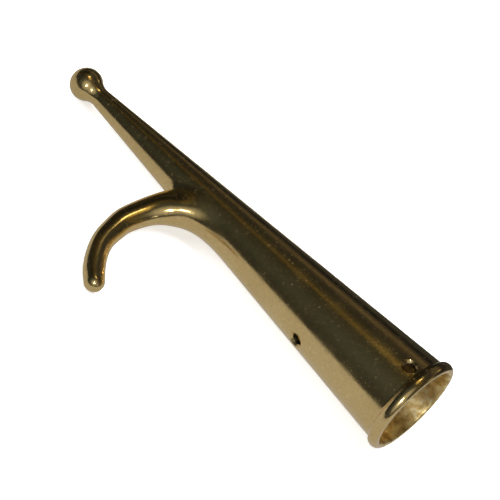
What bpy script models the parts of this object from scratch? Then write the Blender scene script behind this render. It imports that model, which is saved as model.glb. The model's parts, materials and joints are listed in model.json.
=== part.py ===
"""Boat hook head: one brass casting with a pole socket, a ball point and a curved hook.

Metres, +Z up. The head is modelled standing on its rim, with the socket's axis on local Z,
the mouth at local Z = 0 and the hook on the local -Y side. An empty then lays it down the
way it rests on a deck: on its rim bead, its ball and the tip of its hook.
"""
import math

import bmesh
import bpy
from mathutils import Matrix, Vector

MM = 0.001
PART_NAME = "boat_hook_head"

# Socket and body, in metres. "up" is the distance from the mouth along the axis.
BORE_MOUTH_R = 19.0 * MM
WALL_AT_MOUTH = 1.8 * MM
WALL_AT_BORE_END = 2.7 * MM
BORE_DEPTH = 105.0 * MM
BALL_UP = 194.0 * MM
BALL_R = 7.0 * MM
CONE_MOUTH_R = BORE_MOUTH_R + WALL_AT_MOUTH
CONE_SLOPE = 0.0897
NECK_FILLET_R = 7.0 * MM

# Bead round the mouth: half of an ellipse that stands out of the cone.
BEAD_CENTRE_R = 20.4 * MM
BEAD_HALF_LENGTH = 2.5 * MM
BEAD_HEIGHT = 1.8 * MM
BEAD_R = BEAD_CENTRE_R + BEAD_HEIGHT

# Countersunk holes for the screws that hold the pole: (up from the mouth, turn from the hook's side).
SCREW_HOLES = ((9.8 * MM, math.radians(90.0)), (51.8 * MM, 0.0))
SCREW_HOLE_R = 2.4 * MM
COUNTERSINK_R = 3.3 * MM

# Hook, as sections from inside the body to the tip:
# (outer edge up, outer edge out, inner edge up, inner edge out, half thickness), in millimetres.
HOOK_SECTIONS = (
    (133.2, 4.5, 96.5, 7.5, 8.3),
    (134.3, 8.5, 103.0, 11.4, 8.4),
    (136.2, 14.5, 117.0, 14.6, 7.0),
    (138.3, 22.5, 125.0, 22.0, 5.5),
    (139.8, 32.0, 128.8, 32.4, 4.9),
    (138.9, 40.0, 128.9, 38.6, 4.6),
    (136.8, 47.8, 128.0, 44.7, 4.5),
    (132.6, 55.3, 125.6, 49.4, 4.3),
    (127.7, 61.2, 122.4, 53.5, 4.25),
    (122.9, 65.1, 117.5, 58.4, 4.25),
)

# How far the hook's upper ridge sits towards the throat: at the root, and fading out this many sections along.
RIDGE_SHIFT = 0.15
RIDGE_SHIFT_END = 6.0

HOOK_RINGS_PER_SECTION = 4
HOOK_RING_POINTS = 24
HOOK_TIP_RINGS = 5
HOOK_TIP_UP = 0.5 * (HOOK_SECTIONS[-1][0] + HOOK_SECTIONS[-1][2]) * MM
HOOK_TIP_OUT = 0.5 * (HOOK_SECTIONS[-1][1] + HOOK_SECTIONS[-1][3]) * MM
HOOK_TIP_R = HOOK_SECTIONS[-1][4] * MM

TURN_STEPS = 72
ARC_STEPS = 8


def clear_scene():
    for obj in list(bpy.data.objects):
        bpy.data.objects.remove(obj, do_unlink=True)


def make_collection(name):
    collection = bpy.data.collections.new(name)
    bpy.context.scene.collection.children.link(collection)
    return collection


def brass_material():
    material = bpy.data.materials.new("polished_brass")
    material.use_nodes = True
    shader = material.node_tree.nodes["Principled BSDF"]
    shader.inputs["Base Color"].default_value = (0.76, 0.57, 0.26, 1.0)
    shader.inputs["Metallic"].default_value = 1.0
    shader.inputs["Roughness"].default_value = 0.12
    return material


def arc(centre_r, centre_up, radius_r, radius_up, start_deg, end_deg, steps):
    """Points (r, up) on an ellipse's arc; 0 degrees points outward, 90 degrees up."""
    points = []
    for i in range(steps + 1):
        angle = math.radians(start_deg + (end_deg - start_deg) * i / steps)
        points.append((centre_r + radius_r * math.cos(angle), centre_up + radius_up * math.sin(angle)))
    return points


def neck_fillet_centre():
    """Centre (r, up) of the fillet that touches the cone's line and the ball from outside."""
    lean = math.atan(CONE_SLOPE)
    line_r = CONE_MOUTH_R + NECK_FILLET_R / math.cos(lean)
    reach = BALL_R + NECK_FILLET_R
    a = 1.0 + CONE_SLOPE ** 2
    b = -2.0 * (BALL_UP + line_r * CONE_SLOPE)
    c = BALL_UP ** 2 + line_r ** 2 - reach ** 2
    up = (-b - math.sqrt(b * b - 4.0 * a * c)) / (2.0 * a)
    return line_r - CONE_SLOPE * up, up


def body_profile():
    """Outline (r, up) of the solid body, from the ball's top down to the middle of the mouth."""
    lean_deg = math.degrees(math.atan(CONE_SLOPE))
    fillet_r, fillet_up = neck_fillet_centre()
    meet_deg = math.degrees(math.atan2(fillet_up - BALL_UP, fillet_r))
    profile = arc(0.0, BALL_UP, BALL_R, BALL_R, 90.0, meet_deg, 2 * ARC_STEPS)
    fillet = arc(fillet_r, fillet_up, NECK_FILLET_R, NECK_FILLET_R, meet_deg + 180.0, lean_deg + 180.0, ARC_STEPS)
    profile += fillet[1:]
    bead_top_r = CONE_MOUTH_R - CONE_SLOPE * 2.0 * BEAD_HALF_LENGTH
    profile.append((bead_top_r, 2.0 * BEAD_HALF_LENGTH))
    profile += arc(BEAD_CENTRE_R, BEAD_HALF_LENGTH, BEAD_HEIGHT, BEAD_HALF_LENGTH, 90.0, -90.0, 2 * ARC_STEPS)
    profile.append((0.0, 0.0))
    return profile


def bore_profile():
    """Outline (r, up) of the tapered bore, from its rounded end down and out past the mouth."""
    end_r = CONE_MOUTH_R - CONE_SLOPE * BORE_DEPTH - WALL_AT_BORE_END
    slope = (BORE_MOUTH_R - end_r) / BORE_DEPTH
    profile = arc(0.0, BORE_DEPTH, end_r, 0.5 * end_r, 90.0, 0.0, ARC_STEPS)
    overrun = 4.0 * MM
    profile.append((BORE_MOUTH_R, 0.0))
    profile.append((BORE_MOUTH_R, -overrun))
    profile.append((0.0, -overrun))
    return profile


def turned(name, profile, collection):
    """A closed solid turned round Z from an outline that starts and ends on the axis."""
    mesh = bpy.data.meshes.new(name)
    edges = [(i, i + 1) for i in range(len(profile) - 1)]
    mesh.from_pydata([(max(r, 0.0), 0.0, up) for r, up in profile], edges, [])
    obj = bpy.data.objects.new(name, mesh)
    collection.objects.link(obj)
    screw = obj.modifiers.new("turn", 'SCREW')
    screw.axis = 'Z'
    screw.steps = TURN_STEPS
    screw.render_steps = TURN_STEPS
    screw.use_merge_vertices = True
    screw.merge_threshold = 0.00001
    screw.use_smooth_shade = True
    apply_modifiers(obj)
    return obj


def apply_modifiers(obj):
    depsgraph = bpy.context.evaluated_depsgraph_get()
    mesh = bpy.data.meshes.new_from_object(obj.evaluated_get(depsgraph))
    obj.modifiers.clear()
    obj.data = mesh


def catmull_rom(p0, p1, p2, p3, t):
    return [0.5 * (2 * b + (c - a) * t + (2 * a - 5 * b + 4 * c - d) * t ** 2 + (3 * b - a - 3 * c + d) * t ** 3)
            for a, b, c, d in zip(p0, p1, p2, p3)]


def hook_sections():
    """Smooth run of hook sections, in metres, through the hand-chosen ones."""
    sections = [[value * MM for value in section] for section in HOOK_SECTIONS]
    first = [2 * a - b for a, b in zip(sections[0], sections[1])]
    last = [2 * a - b for a, b in zip(sections[-1], sections[-2])]
    ends = [first] + sections + [last]
    smooth = []
    for i in range(len(sections) - 1):
        for step in range(HOOK_RINGS_PER_SECTION):
            t = step / HOOK_RINGS_PER_SECTION
            smooth.append(catmull_rom(ends[i], ends[i + 1], ends[i + 2], ends[i + 3], t))
    smooth.append(sections[-1])
    return smooth


def hook_ring(bm, centre, across, half_width, half_thick, ridge=0.0):
    """An oval ring; across points to the edge that faces the ball, and ridge moves the top the other way."""
    ring = []
    for i in range(HOOK_RING_POINTS):
        angle = math.tau * i / HOOK_RING_POINTS
        step = across * (half_width * (math.cos(angle) - ridge * max(0.0, math.sin(angle)) ** 2))
        step.x += half_thick * math.sin(angle)
        ring.append(bm.verts.new(centre + step))
    return ring


def make_hook(collection):
    """The hook's solid: a loft whose width runs between the two edge curves and flares at the root."""
    bm = bmesh.new()
    rings = []
    for i, (outer_up, outer_out, inner_up, inner_out, half_thick) in enumerate(hook_sections()):
        outer = Vector((0.0, -outer_out, outer_up))
        inner = Vector((0.0, -inner_out, inner_up))
        centre = (outer + inner) / 2
        half = (outer - inner) / 2
        ridge = RIDGE_SHIFT * max(0.0, 1.0 - i / HOOK_RINGS_PER_SECTION / RIDGE_SHIFT_END)
        rings.append(hook_ring(bm, centre, half.normalized(), half.length, half_thick, ridge))
    forward = Vector((1.0, 0.0, 0.0)).cross(half.normalized())
    if forward.y > 0.0:
        forward.negate()
    for i in range(1, HOOK_TIP_RINGS):
        angle = 0.5 * math.pi * i / HOOK_TIP_RINGS
        step = forward * (half_thick * math.sin(angle))
        shrink = math.cos(angle)
        rings.append(hook_ring(bm, centre + step, half.normalized(), half.length * shrink, half_thick * shrink))
    for ring, following in zip(rings, rings[1:]):
        for i in range(HOOK_RING_POINTS):
            j = (i + 1) % HOOK_RING_POINTS
            bm.faces.new((ring[i], ring[j], following[j], following[i]))
    bm.faces.new(reversed(rings[0]))
    pole = bm.verts.new(centre + forward * half_thick)
    for i in range(HOOK_RING_POINTS):
        bm.faces.new((rings[-1][i], rings[-1][(i + 1) % HOOK_RING_POINTS], pole))
    bmesh.ops.recalc_face_normals(bm, faces=bm.faces)
    mesh = bpy.data.meshes.new("hook_solid")
    bm.to_mesh(mesh)
    bm.free()
    obj = bpy.data.objects.new("hook_solid", mesh)
    collection.objects.link(obj)
    return obj


def make_hole_cutter(name, up, turn, collection):
    """A drill with a countersink, square to the cone's wall at its place."""
    wall_r = CONE_MOUTH_R - CONE_SLOPE * up
    sink = COUNTERSINK_R - SCREW_HOLE_R
    inside = 8.0 * MM
    outside = 0.5 * MM
    profile = (
        (0.0, outside),
        (COUNTERSINK_R + outside, outside),
        (SCREW_HOLE_R, -sink),
        (SCREW_HOLE_R, -inside),
        (0.0, -inside),
    )
    cutter = turned(name, profile, collection)
    lean = math.atan(CONE_SLOPE)
    place = Matrix.Translation((0.0, -wall_r, up)) @ Matrix.Rotation(math.radians(90.0) - lean, 4, 'X')
    cutter.matrix_world = Matrix.Rotation(turn, 4, 'Z') @ place
    return cutter


def boolean(target, tool, operation):
    tool.hide_render = True
    tool.display_type = 'WIRE'
    modifier = target.modifiers.new(operation.lower(), 'BOOLEAN')
    modifier.operation = operation
    modifier.solver = 'EXACT'
    modifier.object = tool


def make_head(collection, tools):
    """The whole casting: turned body, hook, tapered bore and the two screw holes."""
    head = turned("hook_head_casting", body_profile(), collection)
    boolean(head, make_hook(tools), 'UNION')
    boolean(head, turned("bore_cutter", bore_profile(), tools), 'DIFFERENCE')
    for i, (up, turn) in enumerate(SCREW_HOLES):
        boolean(head, make_hole_cutter(f"screw_hole_cutter_{i}", up, turn, tools), 'DIFFERENCE')
    head.data.materials.append(brass_material())
    return head


def resting_turn():
    """Rotation that lays the head on its bead, its ball and the tip of its hook."""
    run = BALL_UP - BEAD_HALF_LENGTH
    pitch = math.asin((BEAD_HEIGHT - BALL_R) / math.hypot(run, BEAD_CENTRE_R)) + math.atan2(BEAD_CENTRE_R, run)
    axis_height = BALL_R + (BALL_UP - HOOK_TIP_UP) * math.sin(pitch)
    roll = math.asin((axis_height - HOOK_TIP_R) / (HOOK_TIP_OUT * math.cos(pitch)))
    lay_down = Matrix.Rotation(math.radians(-90.0) - pitch, 4, 'Y')
    return lay_down @ Matrix.Rotation(-roll, 4, 'Z')


def lay_to_rest(head, collection, cutters):
    """Parents the head and its cutters to an empty that turns them, centred on the footprint."""
    depsgraph = bpy.context.evaluated_depsgraph_get()
    turn = resting_turn()
    corners = [turn @ vert.co for vert in head.evaluated_get(depsgraph).data.vertices]
    low = Vector(min(point[i] for point in corners) for i in range(3))
    high = Vector(max(point[i] for point in corners) for i in range(3))
    rest = bpy.data.objects.new("rest_pose", None)
    collection.objects.link(rest)
    middle = (low + high) / 2
    rest.matrix_world = Matrix.Translation((-middle.x, -middle.y, -low.z)) @ turn
    for obj in [head, *cutters.objects]:
        obj.parent = rest


def main():
    clear_scene()
    part = make_collection(PART_NAME)
    tools = make_collection("cutters")
    head = make_head(part, tools)
    lay_to_rest(head, part, tools)


main()
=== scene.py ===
"""Boat hook head: the finished look of the brass casting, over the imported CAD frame.

The casting is built again here as one fine, watertight mesh, because a mirror polish shows
every facet of the CAD solid. It is drawn in the casting's own frame, with the socket's axis
on Z, the mouth at Z = 0 and the hook on the -Y side, and is then laid where the CAD part lies.
"""
import json
import math

import bmesh
import bpy
from mathutils import Matrix, Vector


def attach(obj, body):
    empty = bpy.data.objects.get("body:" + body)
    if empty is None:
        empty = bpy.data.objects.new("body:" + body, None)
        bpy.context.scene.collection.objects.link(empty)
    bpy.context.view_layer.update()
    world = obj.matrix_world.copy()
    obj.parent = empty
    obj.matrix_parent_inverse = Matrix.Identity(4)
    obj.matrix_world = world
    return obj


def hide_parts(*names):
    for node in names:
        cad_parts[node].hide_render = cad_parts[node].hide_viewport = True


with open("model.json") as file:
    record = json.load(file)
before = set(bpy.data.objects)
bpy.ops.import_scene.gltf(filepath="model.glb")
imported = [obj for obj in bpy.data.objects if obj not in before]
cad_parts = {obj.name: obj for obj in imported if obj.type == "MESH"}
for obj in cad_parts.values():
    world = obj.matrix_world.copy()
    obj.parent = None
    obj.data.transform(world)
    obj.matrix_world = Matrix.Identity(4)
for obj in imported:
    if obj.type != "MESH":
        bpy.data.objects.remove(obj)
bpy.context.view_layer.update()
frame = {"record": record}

MM = 0.001

# ---------------------------------------------------------------- sizes, as in the CAD part

BORE_MOUTH_R = 19.0 * MM
BORE_END_R = 8.7 * MM
BORE_DEPTH = 105.0 * MM
BORE_END_RISE = 0.5 * BORE_END_R
BALL_UP = 194.0 * MM
BALL_R = 7.0 * MM
CONE_MOUTH_R = 20.8 * MM
CONE_SLOPE = 0.0897
CONE_LEAN = math.atan(CONE_SLOPE)
NECK_FILLET_R = 7.0 * MM

BEAD_CENTRE_R = 20.4 * MM
BEAD_HALF_LENGTH = 2.5 * MM
BEAD_HEIGHT = 1.8 * MM
GROOVE_R = 0.8 * MM
LIP_R = 0.7 * MM

# Countersunk screw holes: (up from the mouth, turn from the hook's side).
SCREW_HOLES = ((9.8 * MM, math.radians(90.0)), (51.8 * MM, 0.0))
SCREW_HOLE_R = 2.4 * MM
COUNTERSINK_R = 3.3 * MM
COUNTERSINK_SLOPE = math.radians(45.0)
SINK_EDGE_R = 0.25 * MM

# Sections of the hook: outer edge up and out, inner edge up and out, half thickness.
HOOK_SECTIONS = (
    (133.2, 4.5, 96.5, 7.5, 8.3),
    (134.3, 8.5, 103.0, 11.4, 8.4),
    (136.2, 14.5, 117.0, 14.6, 7.0),
    (138.3, 22.5, 125.0, 22.0, 5.5),
    (139.8, 32.0, 128.8, 32.4, 4.9),
    (138.9, 40.0, 128.9, 38.6, 4.6),
    (136.8, 47.8, 128.0, 44.7, 4.5),
    (132.6, 55.3, 125.6, 49.4, 4.3),
    (127.7, 61.2, 122.4, 53.5, 4.25),
    (122.9, 65.1, 117.5, 58.4, 4.25),
)

# How far the hook's upper ridge sits towards the throat at the root, as a share of the half width,
# and how many sections along the shift fades out.
RIDGE_SHIFT = 0.15
RIDGE_SHIFT_END = 6.0

# Where the hook's root fillet meets the cone: an egg, with its narrow end towards the mouth. The power
# pulls it towards the ball, and the roundness shapes its width, by the angle's cosine and its square.
FOOT_UP = (91.5 * MM, 138.5 * MM)
FOOT_UP_POWER = 0.85
FOOT_HALF_TURN = math.radians(80.0)
FOOT_ROUNDNESS = (0.92, 0.134, -0.37)

# The fillet on the ball's side and on the mouth's side: where it ends on the hook, counted in sections,
# and how strongly it follows the cone where it leaves and the hook where it arrives.
FILLET_ENDS = (1.2, 2.6)
FILLET_LEAVE = (0.9, 2.0)
FILLET_ARRIVE = (0.9, 0.7)

# ---------------------------------------------------------------- what the metal reflects

# The room's glow, by degrees round the X axis: 0 is level on the hook's side, 90 straight up.
ROOM_BANDS = (
    (0.0, (0.032, 0.033, 0.032)),
    (12.0, (0.031, 0.034, 0.035)),
    (24.0, (0.037, 0.043, 0.045)),
    (42.0, (0.050, 0.061, 0.061)),
    (60.0, (0.051, 0.060, 0.059)),
    (76.0, (0.044, 0.047, 0.043)),
    (91.0, (0.034, 0.036, 0.030)),
    (97.0, (0.088, 0.070, 0.030)),
    (102.0, (0.088, 0.070, 0.030)),
    (107.0, (0.046, 0.041, 0.029)),
    (114.0, (0.034, 0.033, 0.027)),
    (123.0, (0.026, 0.028, 0.028)),
    (135.0, (0.031, 0.029, 0.028)),
    (142.0, (0.045, 0.040, 0.034)),
    (147.0, (0.090, 0.078, 0.058)),
    (152.0, (0.090, 0.078, 0.058)),
    (158.0, (0.048, 0.043, 0.037)),
    (168.0, (0.010, 0.011, 0.014)),
    (180.0, (0.008, 0.009, 0.013)),
)

# How much the bands glow, by the direction's X: weaker on the ball's side.
ROOM_ALONG = (-0.62, -0.40)
ROOM_STRENGTH = (0.45, 1.25)

# A soft pale glow round the flash: its middle, and how it grows with the cosine of the angle to it.
HALO_TOWARDS = Vector((0.39, -0.55, 0.60)).normalized()
HALO_COSINE = (0.74, 0.98)
HALO_STRENGTH = (0.0, 0.34)
HALO_COLOUR = (1.0, 0.98, 0.92)

# Paper sheets seen only in the metal: flat on the table, and curled up on the ball's side.
TABLE_SHEET = (
    (-2.0, -0.30, -0.0002),
    (2.0, -0.30, -0.0002),
    (2.0, 0.085, -0.0002),
    (-2.0, 0.085, -0.0002),
)
CURLED_SHEET = (
    (-0.8, -0.30, 0.0),
    (-0.13, -0.30, 0.0),
    (-0.25, -0.30, 0.03),
    (-0.8, -0.30, 0.14),
)

# How much the sheets glow, by X: a little weaker on the ball's side.
SHEET_ALONG = (-0.25, 0.0)
SHEET_STRENGTH = (0.33, 0.45)

# Lamps: name, direction, distance, size, power, colour, and whether the metal mirrors it. A mirrored
# lamp lights nothing else.
LAMPS = (
    ("soft_overhead", (0.3, 0.5, 1.6), 1.7, 1.6, 55.0, (1.0, 1.0, 1.0), False),
    ("soft_side", (-1.2, -0.9, 1.2), 1.9, 1.2, 22.0, (1.0, 1.0, 1.0), False),
    ("ceiling_lamp", (-0.19, 0.22, 0.957), 3.0, 0.42, 1.40, (1.0, 0.88, 0.52), True),
    ("flash", (0.39, -0.621, 0.68), 1.2, 0.13, 2.40, (1.0, 0.98, 0.95), True),
    ("side_lamp", (0.919, -0.266, 0.292), 1.5, 0.25, 0.16, (1.0, 0.95, 0.85), True),
    ("window_lamp", (0.821, 0.565, 0.082), 1.5, 0.18, 0.10, (1.0, 0.80, 0.42), True),
    ("far_window", (0.33, 0.83, 0.37), 1.5, 0.22, 0.08, (1.0, 0.85, 0.60), True),
)

# A long warm tube, also only mirrored, with its width and its turn round the upright.
TUBE = ("ceiling_tube", (-0.13, 0.110, 1.0), 1.45, 0.66, 0.28, (1.0, 0.77, 0.30), True)
TUBE_WIDTH = 0.28
TUBE_TURN = math.radians(-8.0)

# ---------------------------------------------------------------- floor, backdrop and camera

FLOOR_SIZE = 8.0
FLOOR_UP = -0.0004
FLOOR_GREY = 0.85

# How much the floor itself glows, by the distance from the head: far off it is as white as the dome.
FLOOR_DISTANCE = (0.3, 1.2)
FLOOR_STRENGTH = (0.62, 1.0)

DOME_RADIUS = 3.8

CAMERA_AZIMUTH = math.radians(21.0448)
CAMERA_ELEVATION = math.radians(49.8816)
CAMERA_ROLL = math.radians(31.2651)
CAMERA_DISTANCE = 1.0
CAMERA_AIM = Vector((10.623, 8.986, 29.139)) * MM
CAMERA_LENS = 183.0
CAMERA_SENSOR = 36.0
CAMERA_CLIP = 0.05

# ---------------------------------------------------------------- fineness of the mesh

COLUMNS = 160
ARC_STEP = 0.3 * MM

# The rows of a straight wall: how far apart, and how near its ends they come, as a share of that.
WALL_ROW = 1.25 * MM
WALL_END_GAP = 0.3

SHORE_RINGS = 8
FILLET_RINGS = 28
HOOK_RINGS = 84
TIP_RINGS = 12
SINK_STEPS = 5
SHARP_ANGLE = math.radians(35.0)

# How often the search for the groove halves its span, and how far along the hook, in sections, to
# each side its slope is read.
HALVINGS = 40
SLOPE_STEP = 0.01

# The cells left out for the hook: how far they reach below and above its foot, and round to each side.
HOOK_BLOCK_BELOW = 4.0 * MM
HOOK_BLOCK_ABOVE = 5.0 * MM
HOOK_BLOCK_HALF_TURN = math.radians(72.0)

# The cells left out for a screw hole: how far they reach past its countersink, and above the groove.
HOLE_BLOCK_MARGIN = 2.2 * MM
GROOVE_MARGIN = 0.1 * MM

# How far off the bore's surface the middle of one of its faces may lie.
BORE_TOLERANCE = 0.1 * MM

# The finishes, by the place of their materials on the mesh.
POLISHED, CAST, DRILLED = range(3)


def lerp(a, b, t):
    return a + (b - a) * t


def arc(centre_r, centre_up, radius_r, radius_up, start, end):
    """Points (r, up) along an ellipse's arc, in radians, 0 outward and a quarter turn up."""
    steps = max(4, math.ceil(abs(end - start) * max(radius_r, radius_up) / ARC_STEP))
    angles = [lerp(start, end, i / steps) for i in range(steps + 1)]
    return [(centre_r + radius_r * math.cos(a), centre_up + radius_up * math.sin(a))
            for a in angles]


def wall(up_from, up_to, radius_at):
    """Points (r, up) along a straight wall, at whole steps so that the bore's rows match the outside's."""
    low, high = sorted((up_from, up_to))
    first = math.ceil(low / WALL_ROW + WALL_END_GAP)
    last = math.floor(high / WALL_ROW - WALL_END_GAP)
    ups = [i * WALL_ROW for i in range(first, last + 1)]
    if up_from > up_to:
        ups.reverse()
    return [(radius_at(up), up) for up in ups]


def cone_radius(up):
    return CONE_MOUTH_R - CONE_SLOPE * up


def bore_radius(up):
    return lerp(BORE_MOUTH_R, BORE_END_R, up / BORE_DEPTH)


def neck_fillet_centre():
    """Centre (r, up) of the fillet that touches the cone's line and the ball from outside."""
    line_r = CONE_MOUTH_R + NECK_FILLET_R / math.cos(CONE_LEAN)
    reach = BALL_R + NECK_FILLET_R
    a = 1.0 + CONE_SLOPE ** 2
    b = -2.0 * (BALL_UP + line_r * CONE_SLOPE)
    c = BALL_UP ** 2 + line_r ** 2 - reach ** 2
    up = (-b - math.sqrt(b * b - 4.0 * a * c)) / (2.0 * a)
    return line_r - CONE_SLOPE * up, up


def groove_fillet():
    """The fillet above the bead: its centre (r, up), and where the two meet, as an angle of each."""
    low = 0.5
    high = math.pi / 2
    for _ in range(HALVINGS):
        bead_angle = (low + high) / 2
        droop = math.atan2(BEAD_HALF_LENGTH * math.cos(bead_angle), BEAD_HEIGHT * math.sin(bead_angle))
        up = BEAD_HALF_LENGTH * (1.0 + math.sin(bead_angle)) + GROOVE_R * math.cos(droop)
        centre_r = cone_radius(up) + GROOVE_R / math.cos(CONE_LEAN)
        gap = BEAD_CENTRE_R + BEAD_HEIGHT * math.cos(bead_angle) - (centre_r - GROOVE_R * math.sin(droop))
        low, high = (bead_angle, high) if gap > 0.0 else (low, bead_angle)
    return centre_r, up, bead_angle, 1.5 * math.pi - droop


def outer_profile():
    """Outline (r, up) from just off the ball's top, down the outside and round the bore's lip."""
    fillet_r, fillet_up = neck_fillet_centre()
    meet = math.atan2(fillet_up - BALL_UP, fillet_r)
    groove_r, groove_up, bead_angle, groove_angle = groove_fillet()
    quarter = math.pi / 2
    profile = arc(0.0, BALL_UP, BALL_R, BALL_R, quarter, meet)[1:]
    on_cone = math.pi + CONE_LEAN
    profile += arc(fillet_r, fillet_up, NECK_FILLET_R, NECK_FILLET_R, meet + math.pi, on_cone)[1:]
    groove = arc(groove_r, groove_up, GROOVE_R, GROOVE_R, on_cone, groove_angle)
    profile += wall(profile[-1][1], groove[0][1], cone_radius) + groove
    profile += arc(BEAD_CENTRE_R, BEAD_HALF_LENGTH, BEAD_HEIGHT, BEAD_HALF_LENGTH, bead_angle, -quarter)[1:]
    profile += arc(BORE_MOUTH_R + LIP_R, LIP_R, LIP_R, LIP_R, -quarter, -math.pi)
    return profile


def bore_profile():
    """Outline (r, up) up the bore from the lip to just off the middle of its rounded end."""
    profile = wall(LIP_R, BORE_DEPTH, bore_radius)
    profile += arc(0.0, BORE_DEPTH, BORE_END_R, BORE_END_RISE, 0.0, math.pi / 2)[:-1]
    return profile


def around(turn, r, up):
    """The point at radius r and height up, turned in radians from the hook's side."""
    return Vector((r * math.sin(turn), -r * math.cos(turn), up))


class Skin:
    """Collects the vertices and faces of the one closed mesh."""

    def __init__(self):
        self.points = []
        self.faces = []

    def add(self, points):
        first = len(self.points)
        self.points.extend(points)
        return list(range(first, len(self.points)))

    def strip(self, ring, following):
        for i in range(len(ring)):
            j = (i + 1) % len(ring)
            self.faces.append((ring[i], ring[j], following[j], following[i]))

    def cap(self, ring, middle):
        centre = self.add([middle])[0]
        for i in range(len(ring)):
            self.faces.append((ring[i], ring[(i + 1) % len(ring)], centre))


class Block:
    """A rectangle of cells left out of the turned grid, where the hook or a hole joins on."""

    def __init__(self, grid, rows, up_low, up_high, turn, half_turn):
        inside = [i for i in rows if up_low <= grid.profile[i][1] <= up_high]
        self.grid = grid
        self.rows = sorted(inside, key=lambda i: -grid.profile[i][1])
        half = round(half_turn / math.tau * COLUMNS)
        middle = round(turn / math.tau * COLUMNS)
        self.columns = (middle - half, middle + half)

    def holds(self, row, column):
        low, high = self.columns
        return min(self.rows) <= row < max(self.rows) and (column - low) % COLUMNS < high - low

    def rim(self):
        """The block's edge as (row, column) pairs, once round from the middle of its highest row."""
        left, right = self.columns
        middle = (left + right) // 2
        edge = [(self.rows[0], column) for column in range(middle, right)]
        edge += [(row, right) for row in self.rows[:-1]]
        edge += [(self.rows[-1], column) for column in range(right, left, -1)]
        edge += [(row, left) for row in reversed(self.rows[1:])]
        edge += [(self.rows[0], column) for column in range(left, middle)]
        return edge

    def rim_ring(self):
        return [self.grid.at(row, column) for row, column in self.rim()]

    def rim_places(self):
        """(turn, up) of each point of the edge."""
        return [(column * math.tau / COLUMNS, self.grid.profile[row][1]) for row, column in self.rim()]

    def angles(self):
        """Each edge point's direction from the block's middle, with 0 towards the ball."""
        places = self.rim_places()
        turns = [turn for turn, up in places]
        ups = [up for turn, up in places]
        middle_turn = (min(turns) + max(turns)) / 2
        middle_up = (min(ups) + max(ups)) / 2
        half_turn = max(turns) - middle_turn
        half_up = max(ups) - middle_up
        return [math.atan2((turn - middle_turn) / half_turn, (up - middle_up) / half_up)
                for turn, up in places]


class Grid:
    """The turned surface: a row of points for each point of the outline."""

    def __init__(self, skin, profile):
        self.skin = skin
        self.profile = profile
        turns = [column * math.tau / COLUMNS for column in range(COLUMNS)]
        self.rings = [skin.add([around(turn, r, up) for turn in turns]) for r, up in profile]

    def at(self, row, column):
        return self.rings[row][column % COLUMNS]

    def fill(self, blocks):
        for row in range(len(self.rings) - 1):
            for column in range(COLUMNS):
                if any(block.holds(row, column) for block in blocks):
                    continue
                corners = ((row, column), (row, column + 1), (row + 1, column + 1), (row + 1, column))
                self.skin.faces.append(tuple(self.at(i, j) for i, j in corners))


def catmull_rom(p0, p1, p2, p3, t):
    """A point between p1 and p2 on the smooth curve through all four."""
    return [0.5 * (2 * b + (c - a) * t
                   + (2 * a - 5 * b + 4 * c - d) * t ** 2
                   + (3 * b - a - 3 * c + d) * t ** 3)
            for a, b, c, d in zip(p0, p1, p2, p3)]


def hook_section(t):
    """The hook's section at t, counted in sections from the root, as edges and thickness in metres."""
    sections = HOOK_SECTIONS
    first = [2 * a - b for a, b in zip(sections[0], sections[1])]
    last = [2 * a - b for a, b in zip(sections[-1], sections[-2])]
    ends = [first, *sections, last]
    i = min(int(t), len(sections) - 2)
    values = catmull_rom(ends[i], ends[i + 1], ends[i + 2], ends[i + 3], t - i)
    outer_up, outer_out, inner_up, inner_out, half_thick = [value * MM for value in values]
    return Vector((0.0, -outer_out, outer_up)), Vector((0.0, -inner_out, inner_up)), half_thick


def hook_point(t, angle):
    """A point on the hook; angle 0 is its outer edge, which faces the ball."""
    outer, inner, half_thick = hook_section(t)
    middle = (outer + inner) / 2
    half = (outer - inner) / 2
    ridge = RIDGE_SHIFT * max(0.0, 1.0 - t / RIDGE_SHIFT_END) * max(0.0, math.sin(angle)) ** 2
    return middle + half * (math.cos(angle) - ridge) + Vector((half_thick * math.sin(angle), 0.0, 0.0))


def foot_point(angle):
    """(turn, up) where the root fillet meets the cone."""
    cosine = math.cos(angle)
    up = lerp(FOOT_UP[0], FOOT_UP[1], ((1.0 + cosine) / 2) ** FOOT_UP_POWER)
    level, lean, pinch = FOOT_ROUNDNESS
    turn = FOOT_HALF_TURN * math.sin(angle) * (level + lean * cosine + pinch * cosine ** 2)
    return turn, up


def hermite(start, start_slope, end, end_slope, t):
    """A point on the curve with these ends and slopes, t of the way along."""
    t2 = t * t
    t3 = t2 * t
    return (start * (2 * t3 - 3 * t2 + 1) + start_slope * (t3 - 2 * t2 + t)
            + end * (3 * t2 - 2 * t3) + end_slope * (t3 - t2))


def fillet_line(angle, count):
    """Points from the cone up to the hook, leaving the one and joining the other without a corner,
    and where on the hook they end."""
    side = (1.0 - math.cos(angle)) / 2
    end_t = lerp(*FILLET_ENDS, side)
    turn, up = foot_point(angle)
    start = around(turn, cone_radius(up), up)
    end = hook_point(end_t, angle)
    normal = Vector((math.sin(turn), -math.cos(turn), CONE_SLOPE)).normalized()
    chord = end - start
    leave = chord - normal * chord.dot(normal)
    arrive = hook_point(end_t + SLOPE_STEP, angle) - hook_point(end_t - SLOPE_STEP, angle)
    leave *= lerp(*FILLET_LEAVE, side) * chord.length / leave.length
    arrive *= lerp(*FILLET_ARRIVE, side) * chord.length / arrive.length
    return [hermite(start, leave, end, arrive, i / count) for i in range(count + 1)], end_t


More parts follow.
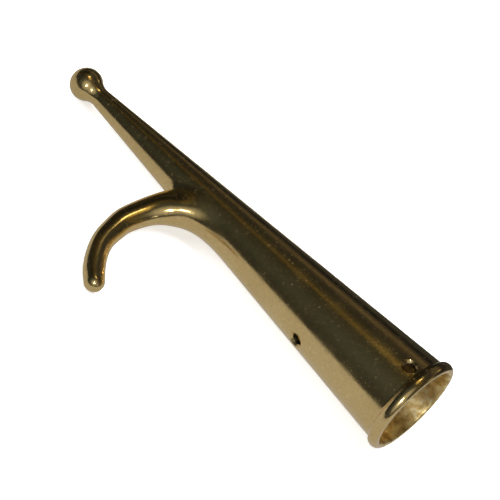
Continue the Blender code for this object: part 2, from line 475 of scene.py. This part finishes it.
def join_hook(skin, block):
    """Fills the hook's block: cone, root fillet, hook and rounded tip, ring by ring."""
    ring = block.rim_ring()
    places = block.rim_places()
    angles = block.angles()
    lines = [fillet_line(angle, FILLET_RINGS) for angle in angles]
    feet = [foot_point(angle) for angle in angles]
    for i in range(1, SHORE_RINGS):
        share = i / SHORE_RINGS
        points = []
        for (turn, up), (foot_turn, foot_up) in zip(places, feet):
            place_up = lerp(up, foot_up, share)
            points.append(around(lerp(turn, foot_turn, share), cone_radius(place_up), place_up))
        following = skin.add(points)
        skin.strip(ring, following)
        ring = following
    for i in range(FILLET_RINGS + 1):
        following = skin.add([line[i] for line, end_t in lines])
        skin.strip(ring, following)
        ring = following
    last = len(HOOK_SECTIONS) - 1
    for i in range(1, HOOK_RINGS + 1):
        share = i / HOOK_RINGS
        following = skin.add([hook_point(lerp(end_t, last, share), angle)
                              for angle, (line, end_t) in zip(angles, lines)])
        skin.strip(ring, following)
        ring = following
    outer, inner, half_thick = hook_section(last)
    middle = (outer + inner) / 2
    forward = Vector((1.0, 0.0, 0.0)).cross(outer - inner).normalized()
    forward *= math.copysign(1.0, -forward.y)
    for i in range(1, TIP_RINGS):
        lift = 0.5 * math.pi * i / TIP_RINGS
        following = skin.add([middle + forward * (half_thick * math.sin(lift))
                              + (hook_point(last, angle) - middle) * math.cos(lift) for angle in angles])
        skin.strip(ring, following)
        ring = following
    skin.cap(ring, middle + forward * half_thick)


def sink_profile():
    """(radius, depth) down a countersunk hole, from the cone's surface into the plain hole."""
    sink = COUNTERSINK_R - SCREW_HOLE_R
    edge = []
    for i in range(SINK_STEPS):
        a = COUNTERSINK_SLOPE * i / (SINK_STEPS - 1)
        radius = COUNTERSINK_R + SINK_EDGE_R * (math.tan(COUNTERSINK_SLOPE / 2) - math.sin(a))
        edge.append((radius, SINK_EDGE_R * (1.0 - math.cos(a))))
    edge_r, edge_depth = edge[-1]
    shares = [i / SINK_STEPS for i in range(1, SINK_STEPS + 1)]
    slope = [(lerp(edge_r, SCREW_HOLE_R, share), lerp(edge_depth, sink, share)) for share in shares]
    return [(COUNTERSINK_R + SINK_EDGE_R, 0.0)] + edge + slope


def join_hole(skin, outer_block, bore_block, up, turn):
    """Joins a block on the outside to the same block in the bore by a countersunk hole."""
    place = Matrix.Rotation(turn, 4, 'Z') @ Matrix.Translation((0.0, -cone_radius(up), up))
    place = place @ Matrix.Rotation(math.radians(90.0) - CONE_LEAN, 4, 'X')

    def ring_points(radius, depth, surface=None):
        """A ring round the hole's axis; with a surface, each point is moved out or in onto it."""
        points = []
        for angle in outer_block.angles():
            point = place @ Vector((radius * math.sin(angle), radius * math.cos(angle), -depth))
            if surface:
                spread = surface(point.z) / math.hypot(point.x, point.y)
                point = Vector((point.x * spread, point.y * spread, point.z))
            points.append(point)
        return points

    ring = outer_block.rim_ring()
    for radius, depth in sink_profile():
        following = skin.add(ring_points(radius, depth, cone_radius if depth == 0.0 else None))
        skin.strip(ring, following)
        ring = following
    following = skin.add(ring_points(SCREW_HOLE_R, 0.0, bore_radius))
    skin.strip(ring, following)
    skin.strip(following, bore_block.rim_ring())


def build_casting():
    """The whole head as one closed mesh, nearly all quads."""
    outside = outer_profile()
    inside = bore_profile()
    skin = Skin()
    grid = Grid(skin, outside + inside)
    outer_rows = range(len(outside))
    bore_rows = range(len(outside), len(outside) + len(inside))
    foot_low = FOOT_UP[0] - HOOK_BLOCK_BELOW
    foot_high = FOOT_UP[1] + HOOK_BLOCK_ABOVE
    hook_block = Block(grid, outer_rows, foot_low, foot_high, 0.0, HOOK_BLOCK_HALF_TURN)
    blocks = [hook_block]
    reach = COUNTERSINK_R + HOLE_BLOCK_MARGIN
    groove_top = groove_fillet()[1] - GROOVE_MARGIN
    for up, turn in SCREW_HOLES:
        half_turn = reach / cone_radius(up)
        outer_low = max(up - reach, groove_top)
        outer_block = Block(grid, outer_rows, outer_low, up + reach, turn, half_turn)
        bore_block = Block(grid, bore_rows, up - reach, up + reach, turn, half_turn)
        join_hole(skin, outer_block, bore_block, up, turn)
        blocks += [outer_block, bore_block]
    grid.fill(blocks)
    join_hook(skin, hook_block)
    skin.cap(grid.rings[0], Vector((0.0, 0.0, BALL_UP + BALL_R)))
    skin.cap(grid.rings[-1], Vector((0.0, 0.0, BORE_DEPTH + BORE_END_RISE)))
    return skin


def finish_of(middle):
    """The finish of a face: polished outside, as cast in the bore and on its lip, drilled in a hole."""
    if middle.z > BORE_DEPTH + BORE_END_R:
        return POLISHED
    radius = middle.xy.length
    if radius < max(bore_radius(middle.z) + BORE_TOLERANCE, BORE_MOUTH_R + LIP_R - middle.z):
        return CAST
    sink = COUNTERSINK_R - SCREW_HOLE_R
    in_hole = radius < cone_radius(middle.z) - sink and middle.z > 2 * BEAD_HALF_LENGTH
    return DRILLED if in_hole else POLISHED


def add_to_scene(name, data):
    thing = bpy.data.objects.new(name, data)
    bpy.context.scene.collection.objects.link(thing)
    return thing


def make_piece(skin, placement, materials):
    """The mesh object, laid down in its place, smooth but for the sharp edges that the metal has."""
    mesh = bpy.data.meshes.new("brass_casting")
    mesh.from_pydata(skin.points, [], skin.faces)
    bm = bmesh.new()
    bm.from_mesh(mesh)
    bmesh.ops.delete(bm, geom=[vert for vert in bm.verts if not vert.link_faces], context='VERTS')
    bmesh.ops.recalc_face_normals(bm, faces=bm.faces)
    for face in bm.faces:
        face.material_index = finish_of(face.calc_center_median())
    bmesh.ops.transform(bm, matrix=placement, verts=bm.verts)
    bm.to_mesh(mesh)
    bm.free()
    mesh.shade_smooth()
    mesh.set_sharp_from_angle(angle=SHARP_ANGLE)
    for material in materials:
        mesh.materials.append(material)
    return add_to_scene("brass_casting", mesh)


# ---------------------------------------------------------------- materials

class Nodes:
    """Short calls for building one node tree, of a material or of the world."""

    def __init__(self, owner, coordinate="Object"):
        owner.use_nodes = True
        self.owner = owner
        self.tree = owner.node_tree
        self.place = self.add('ShaderNodeTexCoord').outputs[coordinate]

    def add(self, kind, **settings):
        node = self.tree.nodes.new(kind)
        for name, value in settings.items():
            setattr(node, name, value)
        return node

    def link(self, source, target):
        self.tree.links.new(source, target)

    def noise(self, scale, detail):
        texture = self.add('ShaderNodeTexNoise')
        texture.inputs["Scale"].default_value = scale
        texture.inputs["Detail"].default_value = detail
        self.link(self.place, texture.inputs["Vector"])
        return texture.outputs["Fac"]

    def remap(self, value, span, to_span, interpolation='LINEAR'):
        node = self.add('ShaderNodeMapRange', interpolation_type=interpolation)
        names = ("From Min", "From Max", "To Min", "To Max")
        for name, end in zip(names, (*span, *to_span)):
            node.inputs[name].default_value = end
        self.link(value, node.inputs["Value"])
        return node.outputs["Result"]

    def maths(self, operation, a, b):
        node = self.add('ShaderNodeMath', operation=operation)
        for socket, value in zip(node.inputs, (a, b)):
            if isinstance(value, float):
                socket.default_value = value
            else:
                self.link(value, socket)
        return node.outputs[0]

    def colours(self, factor, *stops):
        node = self.add('ShaderNodeValToRGB')
        ramp = node.color_ramp
        while len(ramp.elements) < len(stops):
            ramp.elements.new(0.5)
        for element, (position, colour) in zip(ramp.elements, stops):
            element.position = position
            element.color = (*colour, 1.0)
        self.link(factor, node.inputs["Fac"])
        return node.outputs["Color"]

    def shade(self, colour, factor):
        """The colour times a grey factor."""
        node = self.add('ShaderNodeVectorMath', operation='SCALE')
        self.link(colour, node.inputs[0])
        self.link(factor, node.inputs["Scale"])
        return node.outputs[0]

    def split(self):
        """The place's X, Y and Z."""
        node = self.add('ShaderNodeSeparateXYZ')
        self.link(self.place, node.inputs[0])
        return node.outputs

    def along(self, direction, start=Vector((0.0, 0.0, 0.0))):
        """How far the place lies along a direction, from a start."""
        offset = self.add('ShaderNodeVectorMath', operation='SUBTRACT')
        offset.inputs[1].default_value = start
        self.link(self.place, offset.inputs[0])
        node = self.add('ShaderNodeVectorMath', operation='DOT_PRODUCT')
        node.inputs[1].default_value = direction
        self.link(offset.outputs["Vector"], node.inputs[0])
        return node.outputs["Value"]

    def bump(self, height, distance, under=None):
        node = self.add('ShaderNodeBump')
        node.inputs["Strength"].default_value = 1.0
        node.inputs["Distance"].default_value = distance
        self.link(height, node.inputs["Height"])
        if under:
            self.link(under, node.inputs["Normal"])
        return node.outputs["Normal"]


class BrassNodes(Nodes):
    """The node tree of one finish of the brass."""

    def __init__(self, name):
        super().__init__(bpy.data.materials.new(name))
        self.inputs = self.tree.nodes["Principled BSDF"].inputs
        self.inputs["Metallic"].default_value = 1.0


def polished_brass():
    """Buffed brass: nearly a mirror, with a soft grain, faint waves, dull flecks and a little dust."""
    nodes = BrassNodes("polished_brass_finish")
    brass = nodes.colours(nodes.noise(60.0, 4.0), (0.3, (0.79, 0.575, 0.25)), (0.7, (0.85, 0.635, 0.29)))
    mottle = nodes.remap(nodes.noise(900.0, 5.0), (0.3, 0.7), (0.94, 1.06))
    nodes.link(nodes.shade(brass, mottle), nodes.inputs["Base Color"])
    dust = nodes.remap(nodes.noise(900.0, 2.0), (0.63, 0.80), (1.0, 0.91))
    nodes.link(dust, nodes.inputs["Metallic"])
    haze = nodes.remap(nodes.noise(110.0, 5.0), (0.35, 0.70), (0.12, 0.23))
    flecks = nodes.remap(nodes.noise(1000.0, 3.0), (0.50, 0.72), (0.0, 0.07))
    nodes.link(nodes.maths('ADD', haze, flecks), nodes.inputs["Roughness"])
    waves = nodes.bump(nodes.noise(120.0, 2.0), 0.00003)
    grain = nodes.bump(nodes.noise(1300.0, 4.0), 0.00002, waves)
    nodes.link(grain, nodes.inputs["Normal"])
    return nodes.owner


def cast_brass(placement):
    """The bore as it left the mould: satin, pebbled and mottled, with painted shade that darkens it further
    in.
    """
    nodes = BrassNodes("cast_brass_finish")
    tones = ((0.34, (0.56, 0.40, 0.15)), (0.5, (0.86, 0.64, 0.28)), (0.62, (1.0, 0.86, 0.50)))
    tone = nodes.colours(nodes.noise(330.0, 6.0), *tones)
    up = nodes.along(placement.col[2].xyz, placement.translation)
    # Painted shade: the base colour falls to half between 7 and 18 mm in from the mouth, standing in for
    # light that fades inside the bore.
    painted_depth_shade = nodes.remap(up, (0.007, 0.018), (1.0, 0.50))
    nodes.link(nodes.shade(tone, painted_depth_shade), nodes.inputs["Base Color"])
    satin = nodes.remap(nodes.noise(300.0, 4.0), (0.3, 0.7), (0.38, 0.46))
    nodes.link(satin, nodes.inputs["Roughness"])
    nodes.link(nodes.bump(nodes.noise(900.0, 4.0), 0.00014), nodes.inputs["Normal"])
    return nodes.owner


def drilled_brass():
    """The walls of the screw holes: dull, with a near-black painted shade, mottled at random."""
    nodes = BrassNodes("drilled_brass_finish")
    # Painted shade: a near-black base colour that makes the hole walls read as dark hollows.
    painted_hole_shade = nodes.colours(nodes.noise(900.0, 3.0), (0.35, (0.03, 0.025, 0.015)), (0.65, (0.14, 0.11, 0.06)))
    nodes.link(painted_hole_shade, nodes.inputs["Base Color"])
    nodes.inputs["Roughness"].default_value = 0.45
    return nodes.owner


def glowing_paper(name, grey):
    """Matt paper with a white glow of its own."""
    nodes = Nodes(bpy.data.materials.new(name))
    inputs = nodes.tree.nodes["Principled BSDF"].inputs
    inputs["Base Color"].default_value = (grey, grey, grey, 1.0)
    inputs["Roughness"].default_value = 0.9
    inputs["Specular IOR Level"].default_value = 0.0
    inputs["Emission Color"].default_value = (1.0, 1.0, 1.0, 1.0)
    inputs["Emission Strength"].default_value = 1.0
    return nodes


# ---------------------------------------------------------------- stage, light and camera

def make_floor():
    """A pale floor for the eye and the shadows, evenly white far off; metal sees the sheets instead."""
    paper = glowing_paper("floor_paper", FLOOR_GREY)
    distance = paper.add('ShaderNodeVectorMath', operation='LENGTH')
    paper.link(paper.place, distance.inputs[0])
    glow = paper.remap(distance.outputs["Value"], FLOOR_DISTANCE, FLOOR_STRENGTH)
    paper.link(glow, paper.tree.nodes["Principled BSDF"].inputs["Emission Strength"])
    bpy.ops.mesh.primitive_plane_add(size=FLOOR_SIZE, location=(0.0, 0.0, FLOOR_UP))
    floor = bpy.context.object
    floor.name = "floor"
    floor.data.materials.append(paper.owner)
    floor.visible_glossy = False


def make_backdrop():
    """A pale dome for the eye alone, so that low views end in the same white as the floor."""
    bpy.ops.mesh.primitive_uv_sphere_add(segments=48, ring_count=24, radius=DOME_RADIUS)
    dome = bpy.context.object
    dome.name = "backdrop"
    dome.data.materials.append(glowing_paper("backdrop_paper", 0.0).owner)
    dome.visible_glossy = False
    dome.visible_diffuse = False
    dome.visible_shadow = False


def make_sheet(name, corners):
    """A sheet of evenly lit paper that only the metal sees, a little dimmer towards the ball's side."""
    material = bpy.data.materials.new(name + "_paper")
    material.use_nodes = True
    material.node_tree.nodes.clear()
    nodes = Nodes(material)
    glow = nodes.add('ShaderNodeEmission')
    nodes.link(nodes.remap(nodes.split()["X"], SHEET_ALONG, SHEET_STRENGTH), glow.inputs["Strength"])
    nodes.link(glow.outputs[0], nodes.add('ShaderNodeOutputMaterial').inputs["Surface"])
    mesh = bpy.data.meshes.new(name)
    mesh.from_pydata(corners, [], [tuple(range(len(corners)))])
    mesh.materials.append(material)
    sheet = add_to_scene(name, mesh)
    sheet.visible_camera = False
    sheet.visible_diffuse = False
    sheet.visible_shadow = False


def make_world():
    """A dim room: bands of colour round the X axis, from the near horizon over to the far one."""
    world = bpy.data.worlds.new("dim_room")
    nodes = Nodes(world, "Generated")
    x, y, z = nodes.split()
    angle = nodes.maths('ARCTAN2', z, nodes.maths('MULTIPLY', y, -1.0))
    stops = [(degrees / 180.0, colour) for degrees, colour in ROOM_BANDS]
    bands = nodes.colours(nodes.maths('DIVIDE', angle, math.pi), *stops)
    room = nodes.tree.nodes["Background"]
    nodes.link(bands, room.inputs["Color"])
    nodes.link(nodes.remap(x, ROOM_ALONG, ROOM_STRENGTH), room.inputs["Strength"])
    halo = nodes.add('ShaderNodeBackground')
    halo.inputs["Color"].default_value = (*HALO_COLOUR, 1.0)
    glow = nodes.remap(nodes.along(HALO_TOWARDS), HALO_COSINE, HALO_STRENGTH, 'SMOOTHSTEP')
    nodes.link(glow, halo.inputs["Strength"])
    both = nodes.add('ShaderNodeAddShader')
    nodes.link(room.outputs[0], both.inputs[0])
    nodes.link(halo.outputs[0], both.inputs[1])
    nodes.link(both.outputs[0], nodes.tree.nodes["World Output"].inputs["Surface"])
    bpy.context.scene.world = world
    bpy.context.scene.view_settings.view_transform = 'Standard'


def make_light(name, direction, distance, size, power, colour, mirrored):
    """A round lamp that faces the head; a mirrored one is seen in the metal and lights nothing else."""
    data = bpy.data.lights.new(name, 'AREA')
    data.shape = 'DISK'
    data.size = size
    data.energy = power
    data.color = colour
    light = add_to_scene(name, data)
    light.location = Vector(direction).normalized() * distance
    light.rotation_euler = (-light.location).to_track_quat('-Z', 'Y').to_euler()
    light.visible_camera = False
    light.visible_glossy = mirrored
    light.visible_diffuse = not mirrored
    return light


def make_lights():
    for lamp in LAMPS:
        make_light(*lamp)
    tube = make_light(*TUBE)
    tube.data.shape = 'RECTANGLE'
    tube.data.size_y = TUBE_WIDTH
    tube.rotation_euler = (0.0, 0.0, TUBE_TURN)


def make_camera():
    data = bpy.data.cameras.new("camera")
    data.sensor_width = CAMERA_SENSOR
    data.lens = CAMERA_LENS
    data.clip_start = CAMERA_CLIP
    camera = add_to_scene("camera", data)
    towards = Vector((math.sin(CAMERA_AZIMUTH) * math.cos(CAMERA_ELEVATION),
                      -math.cos(CAMERA_AZIMUTH) * math.cos(CAMERA_ELEVATION),
                      math.sin(CAMERA_ELEVATION)))
    level = towards.to_track_quat('Z', 'Y').to_matrix().to_4x4()
    place = Matrix.Translation(CAMERA_AIM + towards * CAMERA_DISTANCE)
    camera.matrix_world = place @ level @ Matrix.Rotation(CAMERA_ROLL, 4, 'Z')
    bpy.context.scene.camera = camera


# ---------------------------------------------------------------- run

def casting_placement():
    """Where the CAD part lies: the pole socket's mouth and axis, and the roll onto the hook's tip."""
    mount = next(m for m in frame["record"]["mounts"] if m["name"] == "pole_socket")
    mouth = Vector(mount["pos_m"])
    towards_ball = -Vector(mount["axis"]).normalized()
    outer, inner, tip_r = hook_section(len(HOOK_SECTIONS) - 1)
    tip = (outer + inner) / 2
    axis_height = mouth.z + towards_ball.z * tip.z
    roll = math.asin((axis_height - tip_r) / (-tip.y * abs(towards_ball.x)))
    lay_down = Matrix.Rotation(-math.acos(towards_ball.z), 4, 'Y')
    return Matrix.Translation(mouth) @ lay_down @ Matrix.Rotation(-roll, 4, 'Z')


def main():
    skin = build_casting()
    placement = casting_placement()
    piece = make_piece(skin, placement, (polished_brass(), cast_brass(placement), drilled_brass()))
    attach(piece, "root")
    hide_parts("hook_head_casting")
    make_floor()
    make_sheet("table_sheet", TABLE_SHEET)
    make_sheet("curled_sheet", CURLED_SHEET)
    make_backdrop()
    make_world()
    make_lights()
    make_camera()


main()
